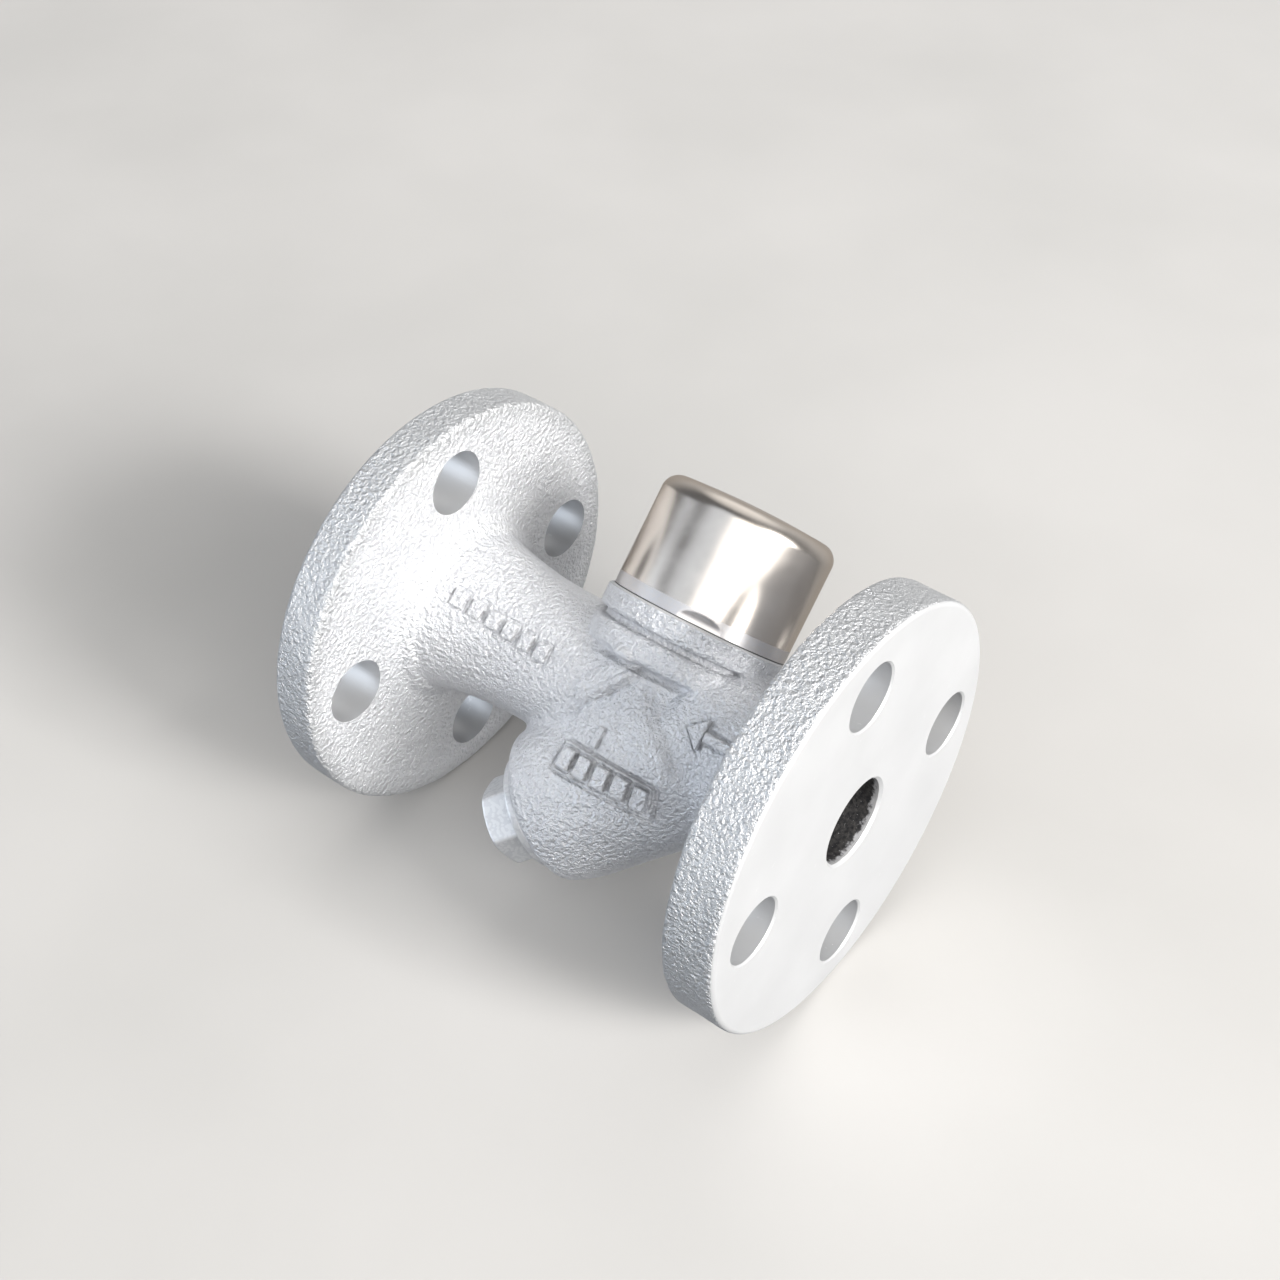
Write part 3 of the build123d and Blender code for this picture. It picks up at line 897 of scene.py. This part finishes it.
cast_paint()
smooth_paint("machined_paint", (0.53, 0.535, 0.545), (0.57, 0.575, 0.585), 0.3, 2.0)
smooth_paint("drilled_paint", (0.46, 0.465, 0.475), (0.52, 0.525, 0.535), 0.4, 61.0)
cast_bore()
plug_paint()
polished_cap()
graphite()
floor_material()
steel("turned_steel", (0.42, 0.42, 0.43), (0.52, 0.52, 0.53), 0.3, 0.35, (1, 1, 6))
steel("ground_steel", (0.46, 0.46, 0.48), (0.56, 0.56, 0.58), 0.2, 0.25, (1, 1, 1))
steel("strip_steel", (0.44, 0.40, 0.35), (0.54, 0.49, 0.43), 0.28, 0.3, (1, 1, 5))
steel("sheet_steel", (0.40, 0.40, 0.41), (0.50, 0.50, 0.51), 0.33, 0.4, (1, 1, 1))


# ---------------------------------------------------------------- plug and caps
def hex_field(u, v, flats, turn, rounding):
    """Hexagon of a size across flats, turned by degrees, with rounded corners."""
    best = None
    for k in range(3):
        a = math.radians(turn + 60 * k)
        d = np.abs(u * math.cos(a) + v * math.sin(a)) - flats / 2
        best = d if best is None else -smooth_union(-best, -d, rounding)
    return best


def thread_field(radius, along, angle, crest, depth, pitch, low, high):
    """Screw thread between two heights, as a slightly shortened distance."""
    phase = (along / pitch - angle / (2 * math.pi)) % 1.0
    ridge = np.clip(np.abs(phase - 0.5) * 2.6 - 0.3, 0, 1)
    d = (radius - crest + ridge * depth) * 0.8
    return np.maximum(d, np.maximum(low - along, along - high))


def make_plug():
    """Strainer plug: hexagon with a dished end, collar and screwed shank."""
    step = 0.26
    u, v, s, low = grid_axes((-17.6, -17.6, 41.6), (17.6, 17.6, 69), step)
    q = np.sqrt(u * u + v * v)
    angle = np.arctan2(v, u)
    collar = round_box(q, s - 56.6, 16.35, 1.18, 0.5)
    head = np.maximum(hex_field(u, v, 22.0, -5.2, 0.7), np.maximum(56 - s, s - PLUG_TOP))
    cone = (q + (s - PLUG_TOP) * 1.7 - 11.0) * 0.5
    head = cut(head, -cone, 0.4)
    shank = thread_field(q, s, angle, 13.2, 1.1, 1.814, 42.6, 55.6)
    dome = np.sqrt((s - PLUG_TOP - 9.3) ** 2 + q * q) - 10.2
    head = cut(head, dome, 0.3)
    b = fillet(head, collar, 0.5)
    b = np.minimum(b, shank)
    socket = np.maximum(q - 11.05, s - 53)
    b = np.maximum(b, -socket)
    points, quads = surface_net(b, low, step)
    ob = mesh_from("plug_head", points, quads)
    p = points_of(ob.data)
    outside = (p[:, 2] > 55.3)[:, None]
    p += normals_of(ob.data) * (noise(p, 2.2, 11) * 0.03)[:, None] * outside
    set_points(ob.data, p)
    ob.data.transform(ON_LEG)
    smooth_shade(ob, 60)
    ob.data.materials.append(MATERIALS["plug_paint"])
    ob.data.materials.append(MATERIALS["turned_steel"])
    c, _ = face_data(ob.data)
    along, _, _ = leg_coords(c[:, 0], c[:, 1], c[:, 2])
    ob.data.polygons.foreach_set("material_index", (along < 55.35).astype(np.int32))
    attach(ob, "plug_screw")
    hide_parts("strainer_plug")


def make_inner_cap():
    """Screwed cap over the disc chamber, with a hexagon on top."""
    step = 0.32
    u, v, z, low = grid_axes((-25, -25, 17.2), (25, 25, 47), step)
    rho = np.sqrt(u * u + v * v)
    angle = np.arctan2(v, u)
    plate = round_box(rho, z - 29.6, 24.05, 1.75, 0.5)
    head = np.maximum(hex_field(u, v, 36.0, 0.0, 0.8), np.maximum(30 - z, z - INNER_TOP))
    head = cut(head, -(rho + (z - INNER_TOP) * 1.6 - 18.0) * 0.53, 0.4)
    shank = thread_field(rho, z, angle, 18.5, 0.95, 1.5, 18.6, 28.2)
    nose = np.maximum(rho - 17.0, np.maximum(18.05 - z, z - 28))
    b = fillet(head, plate, 0.8)
    b = np.minimum(np.minimum(b, shank), nose)
    room = round_box(rho, z - 19.9, 13.9, 6.0, 1.0)
    b = np.maximum(b, -room)
    points, quads = surface_net(b, low, step)
    ob = mesh_from("screwed_inner_cap", points, quads)
    ob.data.transform(ON_CAP)
    smooth_shade(ob, 50)
    ob.data.materials.append(MATERIALS["turned_steel"])
    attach(ob, "cap_screw")
    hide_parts("inner_cap")


def shell_profile(radius, low, straight, corner, top, count):
    """(radius, z) points from the open edge to the axis."""
    turn = math.radians(85)
    centre = radius - corner
    out = [(radius, z) for z in np.linspace(low, straight, count)]
    for a in np.linspace(0, turn, 26)[1:]:
        out.append((centre + corner * math.cos(a), straight + corner * math.sin(a)))
    edge_r, edge_z = out[-1]
    for t in np.linspace(0, 1, 24)[1:]:
        out.append((edge_r * (1 - t), edge_z + (top - edge_z) * (1 - (1 - t) ** 2)))
    return out


def make_outer_cap():
    """Pressed sheet cover with three dents round its skirt."""
    segments = 480
    outer = shell_profile(25.58, 27.25, 56.0, 5.0, 61.88, 70)
    inner = shell_profile(25.0, 27.25, 56.0, 4.4, 61.28, 70)
    edge = [(25.05, 27.21), (25.29, 27.19), (25.53, 27.21)]
    profile = inner[::-1] + edge + outer
    m = len(profile)
    pr = np.array([p[0] for p in profile])
    pz = np.array([p[1] for p in profile])
    a = np.arange(segments) * 2 * math.pi / segments
    rr = np.repeat(pr[:, None], segments, 1)
    zz = np.repeat(pz[:, None], segments, 1)
    aa = np.repeat(a[None, :], m, 0)
    side = np.clip((rr - 20) / 4, 0, 1)
    for degrees in (115, 235, 355):
        da = (aa - math.radians(degrees) + math.pi) % (2 * math.pi) - math.pi
        across = da * 25.6 / 6.3
        up = (zz - 27.9) / 2.4
        dent = np.clip(1 - across**2 - np.clip(up, 0, None) ** 2, 0, 1)
        rr = rr - 0.85 * side * dent
    rr = rr + side * 0.015 * np.sin(aa * 3 + 0.7) * np.sin(zz * 0.12)
    points = np.stack([rr * np.cos(aa), rr * np.sin(aa), zz], -1)
    keep = (pr > 1e-6).nonzero()[0]
    first, last = keep[0], keep[-1]
    body = points[first : last + 1].reshape(-1, 3)
    rows = last - first + 1
    i = np.arange(rows - 1)[:, None] * segments
    j = np.arange(segments)[None, :]
    jn = (j + 1) % segments
    quads = np.stack([i + j, i + jn, i + segments + jn, i + segments + j], -1)
    verts = [Vector(p) * MM for p in body]
    faces = [tuple(int(k) for k in f) for f in quads.reshape(-1, 4)]
    for row, z, up in ((0, pz[first - 1], False), (rows - 1, pz[last + 1], True)):
        verts.append(Vector((0, 0, z)) * MM)
        tip = len(verts) - 1
        for n in range(segments):
            m2 = (n + 1) % segments
            pair = (row * segments + n, row * segments + m2)
            faces.append((pair[0], pair[1], tip) if up else (pair[1], pair[0], tip))
    me = bpy.data.meshes.new("drawn_cap")
    me.from_pydata(verts, [], faces)
    me.transform(ON_CAP)
    bm = bmesh.new()
    bm.from_mesh(me)
    bmesh.ops.recalc_face_normals(bm, faces=bm.faces)
    bm.to_mesh(me)
    bm.free()
    ob = add_object("drawn_cap", me)
    smooth_shade(ob, 40)
    me.materials.append(MATERIALS["polished_cap"])
    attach(ob, "cap_shell")
    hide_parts("outer_cap")


def dress_nodes():
    """Materials for the CAD nodes that stay."""
    finish = {
        "seat_inner_gasket": "graphite",
        "seat_outer_gasket": "graphite",
        "inner_cap_gasket": "graphite",
        "plug_gasket": "graphite",
        "valve_seat": "ground_steel",
        "valve_disc": "ground_steel",
        "bimetal_ring": "strip_steel",
        "strainer_screen": "sheet_steel",
    }
    for node, material in finish.items():
        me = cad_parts[node].data
        me.materials.clear()
        me.materials.append(MATERIALS[material])


casting = make_casting()
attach(casting, "body")
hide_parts("body_casting")
make_plug()
make_inner_cap()
make_outer_cap()
dress_nodes()


# ---------------------------------------------------------------- stage
UP = Vector((0, 0.72, 0.695)).normalized()
SIDE = Vector((-1, 0, 0))
BACK = SIDE.cross(UP).normalized()
MIDDLE = Vector((FAR / 2, 0, 0)) * MM


def facing(direction, up):
    """Rotation that points local -Z along direction."""
    z = -direction.normalized()
    x = up.cross(z).normalized()
    y = z.cross(x)
    return Matrix((x, y, z)).transposed()


def make_floor():
    """Level plate under the flanges, which light and reflections pass by."""
    size = 6.0
    steps = 24
    centre = MIDDLE - UP * FLANGE_R * MM
    verts, faces = [], []
    for i in range(steps + 1):
        for j in range(steps + 1):
            a = (i / steps - 0.5) * size
            b = (j / steps - 0.5) * size
            verts.append(centre + SIDE * a + BACK * b)
    for i in range(steps):
        for j in range(steps):
            k = i * (steps + 1) + j
            faces.append((k, k + 1, k + steps + 2, k + steps + 1))
    me = bpy.data.meshes.new("floor")
    me.from_pydata(verts, [], faces)
    me.update()
    if me.polygons[0].normal.dot(UP) < 0:
        me.flip_normals()
    floor = add_object("floor", me)
    me.materials.append(MATERIALS["studio_floor"])
    floor.visible_diffuse = False
    floor.visible_glossy = False


def area_light(name, place, target, size, power, colour):
    data = bpy.data.lights.new(name, "AREA")
    data.shape = "RECTANGLE"
    data.size = size
    data.size_y = size
    data.energy = power
    data.color = colour
    ob = bpy.data.objects.new(name, data)
    bpy.context.scene.collection.objects.link(ob)
    turn = facing(target - place, UP)
    ob.matrix_world = Matrix.Translation(place) @ turn.to_4x4()


def studio_world(lobes, base):
    """World of soft round patches of light on an even ground."""
    world = bpy.data.worlds.new("studio")
    bpy.context.scene.world = world
    world.use_nodes = True
    tree = world.node_tree
    coord = tree.nodes.new("ShaderNodeTexCoord")
    total = None
    for direction, inner, outer, colour, strength in lobes:
        dot = tree.nodes.new("ShaderNodeVectorMath")
        dot.operation = "DOT_PRODUCT"
        tree.links.new(coord.outputs["Generated"], dot.inputs[0])
        dot.inputs[1].default_value = Vector(direction).normalized()
        ramp = tree.nodes.new("ShaderNodeMapRange")
        ramp.interpolation_type = "SMOOTHSTEP"
        tree.links.new(dot.outputs["Value"], ramp.inputs["Value"])
        ramp.inputs["From Min"].default_value = math.cos(math.radians(outer))
        ramp.inputs["From Max"].default_value = math.cos(math.radians(inner))
        scale = tree.nodes.new("ShaderNodeVectorMath")
        scale.operation = "MULTIPLY_ADD"
        tree.links.new(ramp.outputs["Result"], scale.inputs[0])
        scale.inputs[1].default_value = [c * strength for c in colour]
        if total is None:
            scale.inputs[2].default_value = base
        else:
            tree.links.new(total, scale.inputs[2])
        total = scale.outputs["Vector"]
    tree.links.new(total, tree.nodes["Background"].inputs["Color"])
    plain = tree.nodes.new("ShaderNodeBackground")
    plain.inputs["Color"].default_value = (0.60, 0.595, 0.58, 1.0)
    path = tree.nodes.new("ShaderNodeLightPath")
    mix = tree.nodes.new("ShaderNodeMixShader")
    tree.links.new(path.outputs["Is Camera Ray"], mix.inputs[0])
    tree.links.new(tree.nodes["Background"].outputs[0], mix.inputs[1])
    tree.links.new(plain.outputs[0], mix.inputs[2])
    tree.links.new(mix.outputs[0], tree.nodes["World Output"].inputs["Surface"])


def make_lights():
    warm = (1.0, 0.985, 0.96)
    neutral = (1.0, 0.95, 0.88)
    cool = (0.82, 0.90, 1.0)
    lobes = [
        ((-0.92, 0.38, 0.06), 8, 33, warm, 5.6),
        ((-0.48, 0.86, 0.05), 8, 28, neutral, 2.3),
        ((0.05, 1.0, -0.05), 12, 36, cool, 0.9),
        ((0.72, 0.48, -0.46), 6, 32, cool, 3.4),
        ((0.1, 0.2, 1.0), 5, 40, warm, 0.8),
        ((0.25, -0.80, 0.55), 20, 85, warm, 0.5),
    ]
    studio_world(lobes, (0.15, 0.153, 0.16))
    key = MIDDLE + Vector((-0.88, 0.38, 0.32)) * 2.6
    area_light("key", key, MIDDLE, 0.8, 86.0, warm)


def make_camera():
    data = bpy.data.cameras.new("camera")
    cam = bpy.data.objects.new("camera", data)
    bpy.context.scene.collection.objects.link(cam)
    right = Vector((-0.790293, -0.425149, 0.441231))
    down = Vector((-0.424364, -0.139664, -0.894656))
    away = Vector((0.441986, -0.894283, -0.070043))
    turn = Matrix((right, -down, -away)).transposed()
    place = Vector((-0.143819, 0.4499, 0.050462))
    cam.matrix_world = Matrix.Translation(place) @ turn.to_4x4()
    data.sensor_width = 36.0
    data.lens = 51.33
    data.clip_start = 0.01
    data.clip_end = 50.0
    bpy.context.scene.camera = cam
    bpy.context.scene.view_settings.view_transform = "Standard"


make_floor()
make_lights()
make_camera()
